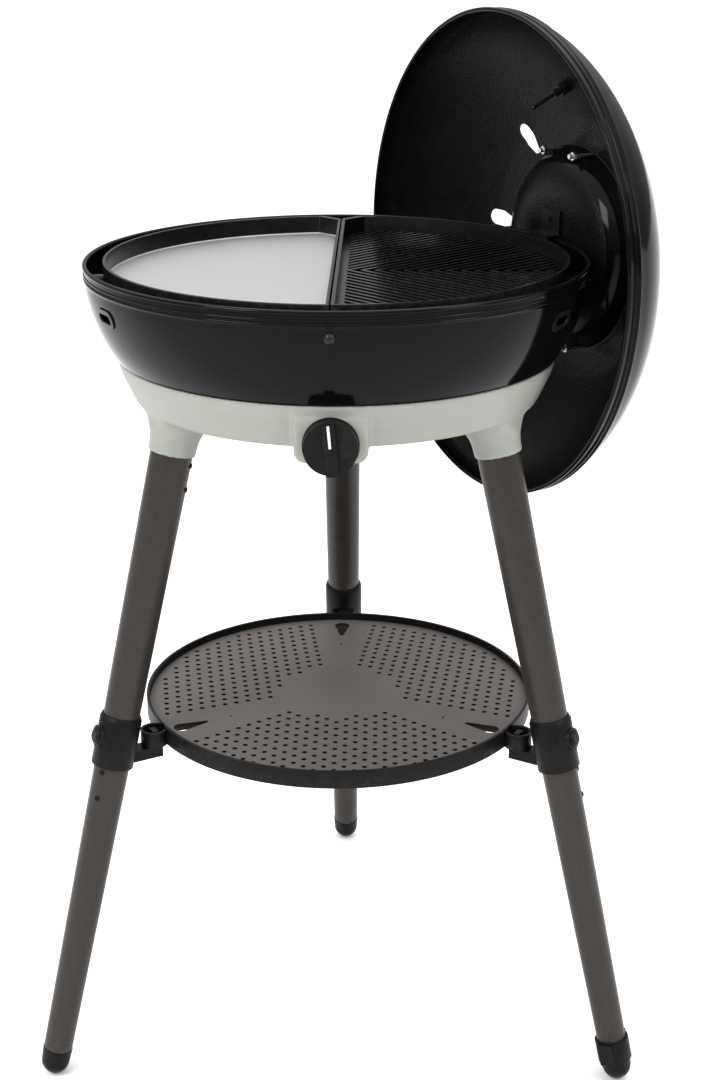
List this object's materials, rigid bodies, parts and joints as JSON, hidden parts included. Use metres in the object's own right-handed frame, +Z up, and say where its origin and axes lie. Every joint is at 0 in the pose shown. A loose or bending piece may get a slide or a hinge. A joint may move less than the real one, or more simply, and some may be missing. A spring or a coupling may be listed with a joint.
{
  "type": "three-legged camping gas grill",
  "caption": "Round gas camp grill on plug-in legs, with a two-part griddle, a lower tray, a control knob and a domed lid hung on the bowl's rim.",
  "frame": {"origin": "on the ground, straight under the bowl's axis", "axes": "+Z up along the bowl's axis, -Y towards the user and the control knob, +X to the user's right"},
  "size_m": [0.6393, 0.6228, 1.0931],
  "materials": {
    "base_plastic": "fine moulded grain",
    "enamel": "gloss vitreous enamel",
    "zinc": "zinc plated",
    "burner_steel": "plain stainless",
    "cast_iron": "cast, matt",
    "ceramic": "glazed ceramic",
    "brass": "machined",
    "black_plastic": "moulded",
    "white_mark": "painted",
    "plate_coating": "non-stick coating",
    "tray_paint": "satin powder coat",
    "leg_paint": "satin powder coat"
  },
  "bodies": {
    "grill_base": {"base_housing": "base_plastic", "control_boss": "base_plastic", "bowl": "enamel", "bowl_base_screws": "zinc", "plate_stud_front": "zinc", "plate_stud_right": "zinc", "plate_stud_back": "zinc", "plate_stud_left": "zinc", "slot_trim_left": "zinc", "slot_trim_right": "zinc", "burner_riser": "burner_steel", "burner_head": "cast_iron", "burner_cap": "cast_iron", "spark_electrode": "ceramic", "gas_valve": "brass", "gas_jet": "brass", "venturi_tube": "burner_steel", "gas_pipe": "brass", "gas_inlet": "brass", "grease_rails": "zinc"},
    "valve_plunger": {"valve_plunger": "zinc"},
    "knob": {"valve_spindle": "brass", "control_knob": "black_plastic", "knob_pointer": "white_mark"},
    "grease_cup": {"grease_cup": "burner_steel"},
    "flat_plate": {"flat_plate": "plate_coating"},
    "ribbed_plate": {"ribbed_plate": "plate_coating"},
    "tray": {"tray_rim": "black_plastic", "tray_sheet_panel": "tray_paint"},
    "lid": {"lid_dome": "enamel", "lid_rim_trim": "enamel", "lid_handle": "black_plastic", "lid_handle_bolts": "zinc", "thermometer_dial": "zinc", "thermometer_stem": "zinc", "lid_hanger": "zinc"},
    "upper_leg_back": {"upper_leg_back": "leg_paint", "upper_rivets_back": "black_plastic", "collar_back": "black_plastic"},
    "release_button_back": {"release_button_back": "black_plastic"},
    "lower_leg_back": {"lower_leg_back": "leg_paint", "lower_rivets_back": "black_plastic", "foot_back": "black_plastic"},
    "upper_leg_left": {"upper_leg_left": "leg_paint", "upper_rivets_left": "black_plastic", "collar_left": "black_plastic"},
    "release_button_left": {"release_button_left": "black_plastic"},
    "lower_leg_left": {"lower_leg_left": "leg_paint", "lower_rivets_left": "black_plastic", "foot_left": "black_plastic"},
    "upper_leg_right": {"upper_leg_right": "leg_paint", "upper_rivets_right": "black_plastic", "collar_right": "black_plastic"},
    "release_button_right": {"release_button_right": "black_plastic"},
    "lower_leg_right": {"lower_leg_right": "leg_paint", "lower_rivets_right": "black_plastic"},
    "levelling_foot": {"levelling_foot": "black_plastic"}
  },
  "joints": [
    {"name": "knob_push", "type": "slide", "parent": "grill_base", "child": "valve_plunger", "axis": [0, 1, 0], "range_m": [0, 0.003], "stiffness_N_per_m": 1200, "springref_m": -0.004},
    {"name": "knob_turn", "type": "hinge", "parent": "valve_plunger", "child": "knob", "pos_m": [0, -0.24, 0.7243], "axis": [0, -1, 0], "range_deg": [0, 200]},
    {"name": "grease_cup_slide", "type": "slide", "parent": "grill_base", "child": "grease_cup", "axis": [-0.866, 0.5, 0], "range_m": [0, 0.09]},
    {"name": "flat_plate_lift", "type": "slide", "parent": "grill_base", "child": "flat_plate", "axis": [0, 0, 1], "range_m": [0, 0.1]},
    {"name": "ribbed_plate_lift", "type": "slide", "parent": "grill_base", "child": "ribbed_plate", "axis": [0, 0, 1], "range_m": [0, 0.1]},
    {"name": "tray_lift", "type": "slide", "parent": "grill_base", "child": "tray", "axis": [0, 0, 1], "range_m": [0, 0.018]},
    {"name": "lid_lift", "type": "slide", "parent": "grill_base", "child": "lid", "axis": [0.3286, 0.1799, 0.9272], "range_m": [0, 0.3]},
    {"name": "upper_leg_back_pull", "type": "slide", "parent": "grill_base", "child": "upper_leg_back", "axis": [0, 0.237, -0.9715], "range_m": [0, 0.04]},
    {"name": "release_button_back_press", "type": "slide", "parent": "upper_leg_back", "child": "release_button_back", "axis": [0, -0.9715, -0.237], "range_m": [0, 0.003], "stiffness_N_per_m": 600, "springref_m": -0.004},
    {"name": "lower_leg_back_pull", "type": "slide", "parent": "upper_leg_back", "child": "lower_leg_back", "axis": [0, 0.237, -0.9715], "range_m": [0, 0.05]},
    {"name": "upper_leg_left_pull", "type": "slide", "parent": "grill_base", "child": "upper_leg_left", "axis": [-0.2053, -0.1185, -0.9715], "range_m": [0, 0.04]},
    {"name": "release_button_left_press", "type": "slide", "parent": "upper_leg_left", "child": "release_button_left", "axis": [0.8414, 0.4858, -0.237], "range_m": [0, 0.003], "stiffness_N_per_m": 600, "springref_m": -0.004},
    {"name": "lower_leg_left_pull", "type": "slide", "parent": "upper_leg_left", "child": "lower_leg_left", "axis": [-0.2053, -0.1185, -0.9715], "range_m": [0, 0.05]},
    {"name": "upper_leg_right_pull", "type": "slide", "parent": "grill_base", "child": "upper_leg_right", "axis": [0.2053, -0.1185, -0.9715], "range_m": [0, 0.04]},
    {"name": "release_button_right_press", "type": "slide", "parent": "upper_leg_right", "child": "release_button_right", "axis": [-0.8414, 0.4858, -0.237], "range_m": [0, 0.003], "stiffness_N_per_m": 600, "springref_m": -0.004},
    {"name": "lower_leg_right_pull", "type": "slide", "parent": "upper_leg_right", "child": "lower_leg_right", "axis": [0.2053, -0.1185, -0.9715], "range_m": [0, 0.05]},
    {"name": "levelling_foot_screw", "type": "slide", "parent": "lower_leg_right", "child": "levelling_foot", "axis": [0.2053, -0.1185, -0.9715], "range_m": [0, 0.012]}
  ]
}
